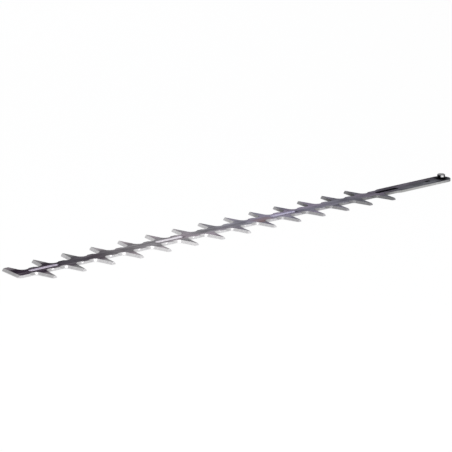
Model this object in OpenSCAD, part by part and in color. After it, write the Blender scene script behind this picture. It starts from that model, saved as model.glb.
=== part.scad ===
// Cutting blade of a hedge trimmer: one flat strip of hardened steel with two
// staggered rows of ground teeth, guide slots and a riveted drive pin.
// The origin is on the axis of the drive pin, on the underside of the strip.
// X runs along the blade from the drive pin to the nose, and Z points up.

/* [Strip] */
// Thickness of the steel strip
thickness = 2.5; // [2:0.1:4]
// Width of the bar that carries the teeth, from gullet floor to gullet floor
bar_w = 17; // [14:0.5:24]
// How far the plain shank stands out beyond the bar on each side
shoulder_step = 2; // [0.5:0.1:4]
// Radius of the hollow that leads from the shank down to the bar
shoulder_r = 20; // [10:1:30]

/* [Teeth] */
// Number of teeth on each side of the bar
teeth_per_side = 14; // [4:1:20]
// Distance between neighbouring teeth on the same side
pitch = 35; // [30:0.5:45]
// Distance from the drive pin to the axis of the first tooth
first_tooth_x = 105; // [95:1:160]
// Length of a tooth from the floor of its gullet to its blunt end
tooth_len = 20.25; // [16:0.25:26]
// Width of the blunt end of a tooth
tooth_end_w = 4.8; // [4:0.1:7]
// Radius of the two corners at the blunt end of a tooth
tooth_corner_r = 0.8; // [0.4:0.1:1.2]
// Slope of each flank away from the axis of its tooth, in degrees
flank_angle = 11.5; // [6:0.5:15]
// Radius of the round corners at the bottom of a gullet
gullet_r = 4.2; // [2.5:0.1:6]
// Distance from the first tooth of a side back to the shoulder of the shank
shoulder_gap = 25; // [20:0.5:30]

/* [Ground edges] */
// Width of the ground bevel along a flank, seen from above
bevel_w = 1.9; // [1:0.1:2.3]
// Height of the upright edge that is left below the bevel
edge_land = 0.5; // [0.3:0.1:1]

/* [Nose] */
// Distance from the axis of the last tooth to the nose edge, on the toothless side
nose_len = 9; // [7:0.5:14]
// How far the nose edge leans back at the end of the last tooth
nose_lean = 3.2; // [0.5:0.1:4]
// How much shorter the last tooth is than the others
nose_short = 5.2; // [2:0.1:8]
// Radius of the round corner of the nose
nose_corner_r = 4.2; // [2:0.1:6]

/* [Guide slots] */
// Number of guide slots
slot_count = 4; // [2:1:6]
// Distance from the drive pin to the middle of the first guide slot
first_slot_x = 87; // [70:1:120]
// Distance from the nose edge back to the middle of the last guide slot
last_slot_gap = 34.5; // [30:0.5:60]
// Length of a guide slot over its round ends
slot_len = 34; // [20:0.5:45]
// Width of a guide slot
slot_w = 5.5; // [5:0.1:8]

/* [Oil slot] */
// Distance from the drive pin to the middle of the oil slot
oil_slot_x = 22; // [18:0.5:32]
// Length of the oil slot over its round ends
oil_slot_len = 8; // [6:0.5:12]
// Width of the oil slot
oil_slot_w = 3.6; // [2:0.1:5]

/* [Drive pin] */
// Diameter of the bearing part of the drive pin
pin_d = 9; // [8:0.5:12]
// Height of the bearing part above the strip
pin_h = 5; // [3:0.5:12]
// Width of the chamfer around the free end of the pin
pin_chamfer = 0.8; // [0.4:0.1:1.5]
// Diameter of the spigot that goes through the strip
spigot_d = 6.4; // [4:0.1:7.6]
// Depth of the countersink that the riveted end of the spigot fills
rivet_depth = 0.9; // [0.5:0.1:1.2]
// Gap between the pin and its hole
pin_gap = 0.02; // [0.01:0.01:0.1]

/* [Hidden] */
$fn = 96;
// How far a cutting shape reaches past the face that it cuts
over = 1;
// Share of its radius at which the middle of a round corner stands from its two edges. The
// arc then crosses both edges at a slight angle.
snug = 0.98;
// How much wider the cone of a ground gullet corner is than the corner itself
wheel_extra = 0.1;

half_bar = bar_w / 2;
half_shank = half_bar + shoulder_step;
tooth_end_y = half_bar + tooth_len;
// The teeth of the second row stand half a pitch further along
first_far_x = first_tooth_x + pitch / 2;
nose_tooth_x = first_far_x + (teeth_per_side - 1) * pitch;
nose_end_y = tooth_end_y - nose_short;
nose_angle = atan(nose_lean / (nose_end_y + half_bar));
last_slot_x = nose_tooth_x + nose_len - last_slot_gap;
slot_spacing = (last_slot_x - first_slot_x) / (slot_count - 1);
bevel_slope = (thickness - edge_land) / bevel_w;

// Half width of a tooth at distance y from the middle of the bar
function half_tooth(y) = tooth_end_w / 2 + (tooth_end_y - y) * tan(flank_angle);
// Nose edge beyond the axis of the last tooth, at distance y from the middle of the bar
function nose_edge(y) = nose_len - (y + half_bar) * tan(nose_angle);

// Middle of the gullet corner beside a tooth, and the point of the flank that is nearest to it
gullet_in = snug * gullet_r;
gullet_y = half_bar + gullet_in;
gullet = [half_tooth(gullet_y) + gullet_in / cos(flank_angle), gullet_y];
flank_start = gullet - gullet_in * [cos(flank_angle), sin(flank_angle)];

module both_flanks() {
    children();
    mirror([1, 0, 0]) children();
}

module near_row() {
    for (i = [0:teeth_per_side - 1]) translate([first_tooth_x + i * pitch, 0, 0]) children();
}

// The far row without its last tooth, which is part of the nose
module far_row() {
    mirror([0, 1, 0])
        for (i = [0:teeth_per_side - 2]) translate([first_far_x + i * pitch, 0, 0]) children();
}

// The last tooth points along +Y here, with its axis at x = 0
module at_nose() {
    mirror([0, 1, 0]) translate([nose_tooth_x, 0, 0]) children();
}

// Waste outside a round corner between an end that faces +Y and an edge on its +X side that
// leans back by the given angle
module corner_waste(at, r, lean) {
    translate(at) difference() {
        polygon([[0, 0], 2 * r * [cos(lean), sin(lean)], [2 * r, 2 * r], [0, 2 * r]]);
        circle(r);
    }
}

// Waste at the rounded end of a flank, for a tooth that ends at height y
module tooth_end_waste(y) {
    set_in = snug * tooth_corner_r;
    x = half_tooth(y - set_in) - set_in / cos(flank_angle);
    corner_waste([x, y - set_in], tooth_corner_r, flank_angle);
}

// One half of a tooth, with the steel between its flank and the gullet corner
module half_tooth_outline() {
    difference() {
        polygon([[0, 0], [gullet.x, 0], [gullet.x, half_bar], flank_start, [tooth_end_w / 2, tooth_end_y],
            [0, tooth_end_y]]);
        tooth_end_waste(tooth_end_y);
    }
}

// End of the bar with the shorter last tooth
module nose_outline() {
    corner_in = snug * nose_corner_r;
    corner_y = corner_in - half_bar;
    corner_x = nose_edge(corner_y) - corner_in / cos(nose_angle);
    tip_in = snug * tooth_corner_r;
    tip_y = nose_end_y - tip_in;
    tip_x = nose_edge(tip_y) - tip_in / cos(nose_angle);
    difference() {
        polygon([[-gullet.x, -half_bar], [nose_len, -half_bar], [nose_edge(nose_end_y), nose_end_y],
            [-half_tooth(nose_end_y), nose_end_y], [-flank_start.x, flank_start.y], [-gullet.x, half_bar]]);
        mirror([0, 1]) corner_waste([corner_x, -corner_y], nose_corner_r, -nose_angle);
        corner_waste([tip_x, tip_y], tooth_corner_r, nose_angle);
        mirror([1, 0]) tooth_end_waste(nose_end_y);
    }
}

// Shank and bar on one side of the middle line
module half_strip(tooth_x) {
    hollow_x = tooth_x - shoulder_gap + shoulder_r * sqrt(1 - snug * snug);
    difference() {
        square([hollow_x, half_shank]);
        translate([hollow_x, half_bar + snug * shoulder_r]) circle(shoulder_r);
    }
    square([nose_tooth_x, half_bar]);
}

module oblong(length, width) {
    reach = (length - width) / 2;
    square([2 * reach, width], center = true);
    for (side = [-1, 1]) translate([side * reach, 0]) circle(width / 2);
}

module slots() {
    translate([oil_slot_x, 0]) oblong(oil_slot_len, oil_slot_w);
    for (i = [0:slot_count - 1]) translate([first_slot_x + i * slot_spacing, 0]) oblong(slot_len, slot_w);
}

module outline() {
    difference() {
        union() {
            circle(half_shank);
            half_strip(first_tooth_x);
            mirror([0, 1, 0]) half_strip(first_far_x);
            near_row() both_flanks() half_tooth_outline();
            far_row() both_flanks() half_tooth_outline();
            at_nose() nose_outline();
        }
        near_row() both_flanks() translate(gullet) circle(gullet_r);
        far_row() both_flanks() translate(gullet) circle(gullet_r);
        at_nose() translate([-gullet.x, gullet.y]) circle(gullet_r);
        slots();
    }
}

// Grinding cut along an edge that runs along +X with the steel on its +Y side
module straight_cut(length) {
    rotate([90, 0, 90]) linear_extrude(length)
        polygon([[-over, edge_land - over * bevel_slope], [bevel_w + over / bevel_slope, thickness + over],
            [-over, thickness + over]]);
}

// Grinding cut of one flank, which runs out around the gullet corner
module flank_cut() {
    wheel_r = gullet_r + wheel_extra;
    translate(flank_start) rotate(90 + flank_angle)
        straight_cut((tooth_end_y + over - flank_start.y) / cos(flank_angle));
    translate([gullet.x, gullet.y, edge_land - over])
        cylinder(h = thickness - edge_land + 2 * over, r1 = wheel_r - over / bevel_slope,
            r2 = wheel_r + bevel_w + over / bevel_slope);
}

module nose_cut() {
    start = -half_bar - over;
    translate([nose_edge(start), start]) rotate(90 + nose_angle)
        straight_cut((nose_end_y + over - start) / cos(nose_angle));
}

module ground_edges() {
    near_row() both_flanks() flank_cut();
    far_row() both_flanks() flank_cut();
    at_nose() {
        mirror([1, 0, 0]) flank_cut();
        nose_cut();
    }
}

// Spigot and riveted end, made larger all round by the given gap
module spigot(gap) {
    r = spigot_d / 2 + gap;
    cylinder(h = thickness + gap, r = r);
    cylinder(h = rivet_depth, r1 = r + rivet_depth, r2 = r);
}

module blade() {
    color("dimgray") difference() {
        linear_extrude(thickness) outline();
        ground_edges();
        spigot(pin_gap);
    }
}

module drive_pin() {
    color("silver") {
        spigot(0);
        translate([0, 0, thickness]) {
            cylinder(h = pin_h - pin_chamfer, d = pin_d);
            translate([0, 0, pin_h - pin_chamfer])
                cylinder(h = pin_chamfer, d1 = pin_d, d2 = pin_d - 2 * pin_chamfer);
        }
    }
}

blade();
drive_pin();
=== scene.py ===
import bpy
from mathutils import Matrix, Vector

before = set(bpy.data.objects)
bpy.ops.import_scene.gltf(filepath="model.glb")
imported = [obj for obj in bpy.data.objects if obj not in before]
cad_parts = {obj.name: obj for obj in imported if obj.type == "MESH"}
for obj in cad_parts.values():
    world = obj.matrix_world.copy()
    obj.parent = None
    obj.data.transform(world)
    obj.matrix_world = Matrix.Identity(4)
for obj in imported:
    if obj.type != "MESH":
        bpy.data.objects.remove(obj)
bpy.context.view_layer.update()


# The camera looks down along the blade from beyond its nose, low over the table. A long lens
# from over two metres away keeps the two rows of teeth almost parallel.
picture_width = 452
lens = bpy.data.cameras.new("long_lens")
lens.sensor_fit = "HORIZONTAL"
lens.sensor_width = 36.0
lens.lens = 163.73
lens.shift_x = -0.7 / picture_width
camera = bpy.data.objects.new("camera", lens)
bpy.context.scene.collection.objects.link(camera)
backwards = Vector((0.64302, 0.72298, 0.25263)).normalized()
rightwards = Vector((-0.74722, 0.66458, 0.0)).normalized()
upwards = backwards.cross(rightwards)
turn = Matrix((rightwards, upwards, backwards)).transposed().to_4x4()
camera.matrix_world = Matrix.Translation((1.6645, 1.5112, 0.5310)) @ turn
bpy.context.scene.camera = camera


# The blade lies on white card in a white room. Both show white to the camera and in the metal,
# and the card keeps a part of the soft shadow under the blade. Each short function makes shader
# nodes, joins their inputs and gives back an output.
def add_node(tree, kind, **settings):
    made = tree.nodes.new(kind)
    for name, value in settings.items():
        setattr(made, name, value)
    return made


def feed(tree, socket, value):
    if isinstance(value, bpy.types.NodeSocket):
        tree.links.new(value, socket)
    elif isinstance(value, tuple) and len(socket.default_value) == 4:
        socket.default_value = (*value, 1.0)
    else:
        socket.default_value = value


def arithmetic(tree, operation, first, second):
    made = add_node(tree, "ShaderNodeMath", operation=operation)
    feed(tree, made.inputs[0], first)
    feed(tree, made.inputs[1], second)
    return made.outputs[0]


def times(tree, first, second):
    return arithmetic(tree, "MULTIPLY", first, second)


def seen_directly(tree):
    path = add_node(tree, "ShaderNodeLightPath")
    eye = arithmetic(tree, "MAXIMUM", path.outputs["Is Camera Ray"], path.outputs["Is Glossy Ray"])
    return arithmetic(tree, "MAXIMUM", eye, path.outputs["Is Transmission Ray"])


room_strength = 0.62
card_glow = 0.9
below_blade = -0.0002
room = bpy.data.worlds.new("white_room")
room.use_nodes = True
air = room.node_tree
air.nodes.clear()
room_light = add_node(air, "ShaderNodeBackground")
feed(air, room_light.inputs["Color"], (0.97, 0.98, 1.0))
feed(air, room_light.inputs["Strength"], room_strength)
room_seen = add_node(air, "ShaderNodeBackground")
feed(air, room_seen.inputs["Color"], (1.0, 1.0, 1.0))
room_mix = add_node(air, "ShaderNodeMixShader")
feed(air, room_mix.inputs[0], seen_directly(air))
feed(air, room_mix.inputs[1], room_light.outputs[0])
feed(air, room_mix.inputs[2], room_seen.outputs[0])
feed(air, add_node(air, "ShaderNodeOutputWorld").inputs["Surface"], room_mix.outputs[0])
bpy.context.scene.world = room

card = bpy.data.materials.new("white_card")
card.use_nodes = True
paper = card.node_tree
paper.nodes.clear()
matt = add_node(paper, "ShaderNodeBsdfDiffuse")
feed(paper, matt.inputs["Color"], (0.96, 0.96, 0.96))
glow = add_node(paper, "ShaderNodeEmission")
feed(paper, glow.inputs["Color"], (1.0, 1.0, 1.0))
paper_mix = add_node(paper, "ShaderNodeMixShader")
feed(paper, paper_mix.inputs[0], times(paper, seen_directly(paper), card_glow))
feed(paper, paper_mix.inputs[1], matt.outputs[0])
feed(paper, paper_mix.inputs[2], glow.outputs[0])
feed(paper, add_node(paper, "ShaderNodeOutputMaterial").inputs["Surface"], paper_mix.outputs[0])
bpy.ops.object.select_all(action="DESELECT")
bpy.ops.mesh.primitive_plane_add(size=8.0, location=(0.3, 0.0, below_blade))
table = bpy.context.active_object
table.name = "table"
table.data.materials.append(card)


# Two soft boxes light the blade: a large one high over the nose, and a weaker one behind. Their
# wide faces give the bevels an even tone and leave no hard glints.
def soft_box(name, place, aim, size, power):
    lamp = bpy.data.lights.new(name, "AREA")
    lamp.size = size
    lamp.energy = power
    box = bpy.data.objects.new(name, lamp)
    bpy.context.scene.collection.objects.link(box)
    box.location = place
    box.rotation_euler = (Vector(place) - Vector(aim)).to_track_quat("Z", "Y").to_euler()


soft_box("nose_box", (1.5, 0.9, 1.8), (0.35, 0.0, 0.0), 1.6, 26.0)
soft_box("back_box", (-0.6, -1.6, 1.5), (0.3, 0.0, 0.0), 1.4, 10.0)


# Marks that both pieces carry. Tool lines are the fine parallel scratches of rolling, stamping,
# grinding and turning, oil film is the thin dried oil and the pits under it, and edge wear is
# where handling has rounded and brightened an edge.
def fade(tree, value, start, end, from_share=0.0, to_share=1.0):
    made = add_node(tree, "ShaderNodeMapRange", interpolation_type="SMOOTHSTEP")
    for socket, given in zip(made.inputs, (value, start, end, from_share, to_share)):
        feed(tree, socket, given)
    return made.outputs["Result"]


def grain(tree, place, stretch, detail):
    mapping = add_node(tree, "ShaderNodeMapping")
    feed(tree, mapping.inputs["Vector"], place)
    feed(tree, mapping.inputs["Scale"], stretch)
    noise = add_node(tree, "ShaderNodeTexNoise")
    feed(tree, noise.inputs["Vector"], mapping.outputs[0])
    feed(tree, noise.inputs["Scale"], 1.0)
    feed(tree, noise.inputs["Detail"], detail)
    return noise.outputs["Fac"]


def effect(name, inputs, outputs):
    group = bpy.data.node_groups.new(name, "ShaderNodeTree")
    for label, kind in inputs.items():
        group.interface.new_socket(label, in_out="INPUT", socket_type=kind)
    for label, kind in outputs.items():
        group.interface.new_socket(label, in_out="OUTPUT", socket_type=kind)
    return group, add_node(group, "NodeGroupInput"), add_node(group, "NodeGroupOutput")


tool_lines, lines_given, lines_made = effect(
    "tool_lines", {"Place": "NodeSocketVector", "Stretch": "NodeSocketVector"},
    {"Lines": "NodeSocketFloat", "Scratches": "NodeSocketFloat"})
stretched = add_node(tool_lines, "ShaderNodeVectorMath", operation="MULTIPLY")
feed(tool_lines, stretched.inputs[0], lines_given.outputs["Place"])
feed(tool_lines, stretched.inputs[1], lines_given.outputs["Stretch"])
fine_lines = grain(tool_lines, stretched.outputs[0], (1.0, 1.0, 1.0), 3.0)
broad_lines = grain(tool_lines, stretched.outputs[0], (0.2, 0.2, 0.2), 2.0)
both_lines = arithmetic(tool_lines, "ADD", fine_lines, broad_lines)
feed(tool_lines, lines_made.inputs["Lines"], times(tool_lines, both_lines, 0.5))
few_lines = grain(tool_lines, stretched.outputs[0], (0.45, 0.4, 0.4), 1.0)
feed(tool_lines, lines_made.inputs["Scratches"], fade(tool_lines, few_lines, 0.64, 0.72))

oil_film, film_given, film_made = effect(
    "oil_film", {"Place": "NodeSocketVector"}, {"Patches": "NodeSocketFloat", "Pits": "NodeSocketFloat"})
cloud = grain(oil_film, film_given.outputs["Place"], (38.0, 70.0, 70.0), 4.0)
feed(oil_film, film_made.inputs["Patches"], fade(oil_film, cloud, 0.36, 0.68))
pits = grain(oil_film, film_given.outputs["Place"], (900.0, 900.0, 900.0), 2.0)
feed(oil_film, film_made.inputs["Pits"], fade(oil_film, pits, 0.62, 0.72))

edge_wear, wear_given, wear_made = effect(
    "edge_wear", {"Reach": "NodeSocketFloat"}, {"Worn": "NodeSocketFloat", "Normal": "NodeSocketVector"})
rounded = add_node(edge_wear, "ShaderNodeBevel")
feed(edge_wear, rounded.inputs["Radius"], wear_given.outputs["Reach"])
surface = add_node(edge_wear, "ShaderNodeNewGeometry")
likeness = add_node(edge_wear, "ShaderNodeVectorMath", operation="DOT_PRODUCT")
feed(edge_wear, likeness.inputs[0], rounded.outputs[0])
feed(edge_wear, likeness.inputs[1], surface.outputs["Normal"])
feed(edge_wear, wear_made.inputs["Worn"], fade(edge_wear, likeness.outputs["Value"], 0.995, 0.93))
feed(edge_wear, wear_made.inputs["Normal"], rounded.outputs[0])


# The blade is stamped from spring steel strip. Its flat faces keep a dark, slightly violet
# hardening skin, painted lighter along the middle and darker towards both ends as a painted reflection.
# The ground bevels and the stamped walls are bare metal, with painted light and shade: brighter towards
# the nose, darker towards the drive end.
def inside(tree, distance, reach, soft):
    return fade(tree, distance, reach, reach + soft, 1.0, 0.0)


def away_from(tree, value, middle):
    return arithmetic(tree, "ABSOLUTE", arithmetic(tree, "SUBTRACT", value, middle), 0.0)


def lay_over(tree, share, under, over):
    made = add_node(tree, "ShaderNodeMix", data_type="RGBA")
    feed(tree, made.inputs[0], share)
    feed(tree, made.inputs[6], under)
    feed(tree, made.inputs[7], over)
    return made.outputs[2]


def dim(tree, colour, share):
    made = add_node(tree, "ShaderNodeVectorMath", operation="SCALE")
    feed(tree, made.inputs[0], colour)
    feed(tree, made.inputs["Scale"], share)
    return made.outputs[0]


def tint(tree, share, colour, first, second):
    made = add_node(tree, "ShaderNodeVectorMath", operation="MULTIPLY")
    feed(tree, made.inputs[0], colour)
    feed(tree, made.inputs[1], lay_over(tree, share, first, second))
    return made.outputs[0]


def tones(tree, value, stops):
    made = add_node(tree, "ShaderNodeValToRGB")
    made.color_ramp.interpolation = "EASE"
    while len(made.color_ramp.elements) < len(stops):
        made.color_ramp.elements.new(0.5)
    for element, (share, colour) in zip(made.color_ramp.elements, stops):
        element.position = share
        element.color = (*colour, 1.0)
    feed(tree, made.inputs["Fac"], value)
    return made.outputs["Color"]


def use_effect(tree, group, **given):
    made = add_node(tree, "ShaderNodeGroup", node_tree=group)
    for label, value in given.items():
        feed(tree, made.inputs[label], value)
    return made


def metal(name):
    material = bpy.data.materials.new(name)
    material.use_nodes = True
    tree = material.node_tree
    shader = tree.nodes["Principled BSDF"]
    shader.inputs["Metallic"].default_value = 1.0
    return material, tree, shader


drive_end = -0.0105
nose_end = 0.5865
slot_distance = 0.155
first_slot = 0.087
half_slot_width = 0.0029
lip_reach = 0.0175
rub_line_at = 0.0052
stain_at = 0.274
pin_shadow_reach = 0.0052
pit_black = (0.03, 0.028, 0.03)
sap_brown = (0.215, 0.150, 0.150)
pin_shadow_black = (0.010, 0.010, 0.012)
cool_bloom = (0.98, 1.01, 0.98)
violet_bloom = (1.045, 0.98, 1.01)
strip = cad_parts["blade"]
strip_steel, st, strip_shader = metal("strip_steel")
strip_shader.inputs["Specular Tint"].default_value = (0.3, 0.3, 0.3, 1.0)
here = add_node(st, "ShaderNodeTexCoord")
place = add_node(st, "ShaderNodeSeparateXYZ")
feed(st, place.inputs[0], here.outputs["Object"])
facing = add_node(st, "ShaderNodeSeparateXYZ")
feed(st, facing.inputs[0], here.outputs["Normal"])
along, across = place.outputs["X"], place.outputs["Y"]
off_middle = arithmetic(st, "ABSOLUTE", across, 0.0)
levelness = arithmetic(st, "ABSOLUTE", facing.outputs["Z"], 0.0)
flat_face = fade(st, levelness, 0.86, 0.97)
upright = fade(st, levelness, 0.50, 0.30)
share = add_node(st, "ShaderNodeMapRange")
feed(st, share.inputs["Value"], along)
feed(st, share.inputs["From Min"], drive_end)
feed(st, share.inputs["From Max"], nose_end)
length_share = share.outputs["Result"]

# Painted reflection: the flat faces run lighter along the middle of the blade and darker towards both
# ends.
skin = tones(st, length_share, (
    (0.00, (0.088, 0.086, 0.100)),
    (0.08, (0.158, 0.155, 0.180)),
    (0.15, (0.112, 0.109, 0.130)),
    (0.21, (0.170, 0.164, 0.196)),
    (0.43, (0.232, 0.221, 0.280)),
    (0.66, (0.250, 0.236, 0.256)),
    (0.78, (0.180, 0.166, 0.182)),
    (0.88, (0.092, 0.084, 0.097)),
    (0.97, (0.055, 0.049, 0.060)),
))
# Painted light and shade: the ground bevels run brighter in the nose half and darker towards the drive
# end.
ground = tones(st, length_share, (
    (0.17, (0.155, 0.155, 0.158)),
    (0.30, (0.250, 0.248, 0.256)),
    (0.42, (0.360, 0.355, 0.366)),
    (0.50, (0.520, 0.515, 0.525)),
    (0.67, (0.670, 0.660, 0.668)),
    (0.82, (0.600, 0.592, 0.602)),
    (0.97, (0.450, 0.445, 0.450)),
))
# Painted light and shade: the stamped walls run darker towards the drive end.
stamped = tones(st, length_share, (
    (0.00, (0.300, 0.300, 0.308)),
    (0.06, (0.480, 0.482, 0.480)),
    (0.13, (0.430, 0.432, 0.425)),
    (0.20, (0.220, 0.218, 0.228)),
    (0.40, (0.500, 0.494, 0.520)),
    (0.52, (0.740, 0.730, 0.745)),
    (1.00, (0.660, 0.650, 0.660)),
))
# The slot walls are light lavender, and black in the slot nearest the drive end, which is painted shade.
slot_wall = tones(st, length_share, (
    (0.19, (0.012, 0.012, 0.015)),
    (0.39, (0.600, 0.575, 0.710)),
    (0.44, (0.600, 0.575, 0.710)),
    (0.68, (0.880, 0.850, 0.890)),
    (0.94, (0.640, 0.590, 0.680)),
))

film = use_effect(st, oil_film, Place=here.outputs["Object"])
rolled = use_effect(st, tool_lines, Place=here.outputs["Object"], Stretch=(40.0, 2400.0, 2400.0))
wheel_marks = use_effect(st, tool_lines, Place=here.outputs["Object"], Stretch=(120.0, 2800.0, 120.0))
punch_marks = use_effect(st, tool_lines, Place=here.outputs["Object"], Stretch=(2600.0, 2600.0, 160.0))
worn = use_effect(st, edge_wear, Reach=0.00025)

rub_line = fade(st, away_from(st, off_middle, rub_line_at), 0.0004, 0.0018, 0.22, 0.0)
rub_gain = arithmetic(st, "ADD", fade(st, rolled.outputs["Lines"], 0.30, 0.70, 0.78, 1.20), rub_line)
film_gain = fade(st, film.outputs["Patches"], 0.0, 1.0, 1.06, 0.84)
skin = dim(st, skin, times(st, rub_gain, film_gain))
skin = lay_over(st, times(st, rolled.outputs["Scratches"], 0.30), skin, ground)
skin = lay_over(st, times(st, film.outputs["Pits"], 0.45), skin, pit_black)

# Cutting rubs the teeth of the nose half brighter towards their ends. Sap stains one stretch
# brown, the face is darker along the near lip of each slot, and a painted shadow and reflection of the
# drive pin lie black round its foot.
rubbed_teeth = times(st, fade(st, off_middle, 0.009, 0.020), fade(st, along, 0.37, 0.45))
skin = lay_over(st, times(st, rubbed_teeth, 0.30), skin, ground)
bloom = grain(st, here.outputs["Object"], (15.0, 40.0, 40.0), 1.0)
skin = tint(st, fade(st, bloom, 0.40, 0.62), skin, cool_bloom, violet_bloom)
stain_reach = away_from(st, along, stain_at)
stained = times(st, inside(st, stain_reach, 0.006, 0.010), fade(st, across, -0.005, 0.001))
stained = times(st, stained, inside(st, across, 0.009, 0.005))
stained = times(st, stained, fade(st, film.outputs["Patches"], 0.0, 0.6, 0.55, 0.85))
skin = lay_over(st, stained, skin, sap_brown)
# The face is made darker along the near lip of each slot.
from_slot = arithmetic(st, "PINGPONG", away_from(st, along, first_slot), slot_distance / 2)
slot_lip = times(st, inside(st, from_slot, lip_reach, 0.002), inside(st, across, 0.0036, 0.0014))
slot_lip = times(st, slot_lip, fade(st, across, 0.0, 0.0020))
slot_lip = times(st, slot_lip, fade(st, along, 0.11, 0.20))
skin = dim(st, skin, arithmetic(st, "SUBTRACT", 1.0, times(st, slot_lip, 0.55)))
# Painted shadow and reflection of the drive pin: the face round its foot is black, broken up by the oil
# film pattern.
axis_distance = add_node(st, "ShaderNodeVectorMath", operation="LENGTH")
flat_place = add_node(st, "ShaderNodeCombineXYZ")
feed(st, flat_place.inputs[0], along)
feed(st, flat_place.inputs[1], across)
feed(st, axis_distance.inputs[0], flat_place.outputs[0])
near_pin = inside(st, axis_distance.outputs["Value"], pin_shadow_reach, 0.0040)
pin_shadow = times(st, near_pin, fade(st, film.outputs["Patches"], 0.0, 0.5, 0.75, 1.0))
skin = lay_over(st, pin_shadow, skin, pin_shadow_black)

# Painted shade at the tooth roots: the far-side bevels are darker there, more so towards the drive end.
far_side = fade(st, across, 0.004, -0.004)
far_root_shade = times(st, fade(st, across, -0.027, -0.013), far_side)
far_root_shade = times(st, far_root_shade, fade(st, along, 0.24, 0.31, 0.55, 0.12))
ground = dim(st, ground, arithmetic(st, "SUBTRACT", 1.0, far_root_shade))
ground = dim(st, ground, fade(st, wheel_marks.outputs["Lines"], 0.30, 0.70, 0.84, 1.12))
# The slot wall colour, with its painted shade, goes on the walls inside the slots.
in_slot = times(st, inside(st, off_middle, half_slot_width, 0.0004), fade(st, along, 0.012, 0.014))
in_slot = times(st, in_slot, fade(st, along, 0.576, 0.573))
stamped = lay_over(st, in_slot, stamped, slot_wall)
stamped = dim(st, stamped, fade(st, punch_marks.outputs["Lines"], 0.30, 0.70, 0.88, 1.10))
bare = lay_over(st, upright, ground, stamped)
skin = lay_over(st, times(st, worn.outputs["Worn"], 0.35), skin, bare)
feed(st, strip_shader.inputs["Base Color"], lay_over(st, flat_face, bare, skin))

skin_gloss = fade(st, film.outputs["Patches"], 0.0, 1.0, 0.46, 0.35)
bare_gloss = fade(st, wheel_marks.outputs["Lines"], 0.3, 0.7, 0.28, 0.38)
gloss = add_node(st, "ShaderNodeMix", data_type="FLOAT")
feed(st, gloss.inputs[0], flat_face)
feed(st, gloss.inputs[2], bare_gloss)
feed(st, gloss.inputs[3], skin_gloss)
feed(st, strip_shader.inputs["Roughness"], gloss.outputs[0])
face_relief = arithmetic(st, "SUBTRACT", rolled.outputs["Lines"], film.outputs["Pits"])
relief = add_node(st, "ShaderNodeMix", data_type="FLOAT")
feed(st, relief.inputs[0], flat_face)
feed(st, relief.inputs[2], wheel_marks.outputs["Lines"])
feed(st, relief.inputs[3], face_relief)
bump = add_node(st, "ShaderNodeBump")
feed(st, bump.inputs["Strength"], 0.25)
feed(st, bump.inputs["Distance"], 0.00004)
feed(st, bump.inputs["Height"], relief.outputs[0])
feed(st, bump.inputs["Normal"], worn.outputs["Normal"])
feed(st, strip_shader.inputs["Normal"], bump.outputs[0])
strip.data.materials.clear()
strip.data.materials.append(strip_steel)


# The drive pin is turned from hardened bar. Its end is dark, partly with oil and partly as a painted
# reflection, a narrow band of its side carries a painted highlight, and the rest of its side is near
# black down to the strip.
highlight_height = 0.0057
highlight_half_band = 0.0008
rivet_height = 0.0012
# The pin's side is near black.
dark_side = (0.016, 0.016, 0.018)
highlight_white = (0.95, 0.95, 0.96)
# The pin's end is dark, partly from oil and partly as a painted reflection.
end_oil_and_reflection = (0.105, 0.103, 0.110)
worn_edge = (0.5, 0.5, 0.5)
rivet_steel = (0.36, 0.35, 0.37)
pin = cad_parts["drive_pin"]
pin_steel, pt, pin_shader = metal("pin_steel")
pin_here = add_node(pt, "ShaderNodeTexCoord")
pin_place = add_node(pt, "ShaderNodeSeparateXYZ")
feed(pt, pin_place.inputs[0], pin_here.outputs["Object"])
pin_facing = add_node(pt, "ShaderNodeSeparateXYZ")
feed(pt, pin_facing.inputs[0], pin_here.outputs["Normal"])
height = pin_place.outputs["Z"]
pin_radius = add_node(pt, "ShaderNodeVectorMath", operation="LENGTH")
pin_flat = add_node(pt, "ShaderNodeCombineXYZ")
feed(pt, pin_flat.inputs[0], pin_place.outputs["X"])
feed(pt, pin_flat.inputs[1], pin_place.outputs["Y"])
feed(pt, pin_radius.inputs[0], pin_flat.outputs[0])
ring_place = add_node(pt, "ShaderNodeCombineXYZ")
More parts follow.
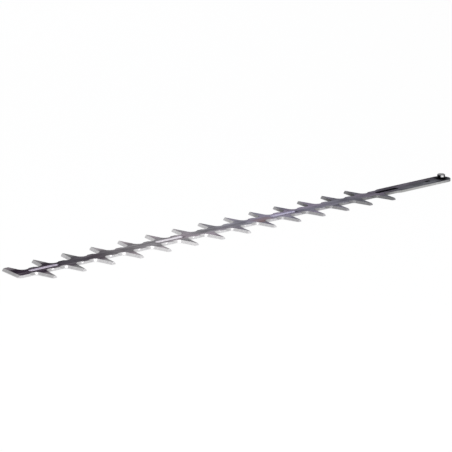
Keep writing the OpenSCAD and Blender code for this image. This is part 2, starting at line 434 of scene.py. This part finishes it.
feed(pt, ring_place.inputs[0], pin_radius.outputs["Value"])
feed(pt, ring_place.inputs[2], height)
turned = use_effect(pt, tool_lines, Place=ring_place.outputs[0], Stretch=(3000.0, 1.0, 3000.0))
pin_film = use_effect(pt, oil_film, Place=pin_here.outputs["Object"])
pin_wear = use_effect(pt, edge_wear, Reach=0.0002)

end_face = fade(pt, pin_facing.outputs["Z"], 0.30, 0.50)
# Painted highlight: a narrow band of the pin's side, on the side turned towards the camera, is painted
# near white.
highlight_side = add_node(pt, "ShaderNodeVectorMath", operation="DOT_PRODUCT")
feed(pt, highlight_side.inputs[0], pin_here.outputs["Normal"])
feed(pt, highlight_side.inputs[1], (0.52, 0.85, 0.0))
highlight_reach = away_from(pt, height, highlight_height)
highlight_band = inside(pt, highlight_reach, highlight_half_band, 0.0004)
painted_highlight = times(pt, highlight_band, fade(pt, highlight_side.outputs["Value"], 0.89, 0.97))
side = lay_over(pt, painted_highlight, dark_side, highlight_white)
pin_colour = lay_over(pt, end_face, side, end_oil_and_reflection)
pin_colour = lay_over(pt, times(pt, pin_wear.outputs["Worn"], 0.12), pin_colour, worn_edge)
riveted = fade(pt, height, rivet_height, 0.0008)
pin_colour = lay_over(pt, riveted, pin_colour, rivet_steel)
pin_colour = dim(pt, pin_colour, fade(pt, turned.outputs["Lines"], 0.3, 0.7, 0.85, 1.05))
feed(pt, pin_shader.inputs["Base Color"], pin_colour)
feed(pt, pin_shader.inputs["Roughness"], fade(pt, pin_film.outputs["Patches"], 0.0, 1.0, 0.22, 0.36))
pin_bump = add_node(pt, "ShaderNodeBump")
feed(pt, pin_bump.inputs["Strength"], 0.2)
feed(pt, pin_bump.inputs["Distance"], 0.00003)
feed(pt, pin_bump.inputs["Height"], turned.outputs["Lines"])
feed(pt, pin_bump.inputs["Normal"], pin_wear.outputs["Normal"])
feed(pt, pin_shader.inputs["Normal"], pin_bump.outputs[0])
pin.data.materials.clear()
pin.data.materials.append(pin_steel)


# Colours show as they are written.
bpy.context.scene.view_settings.view_transform = "Standard"
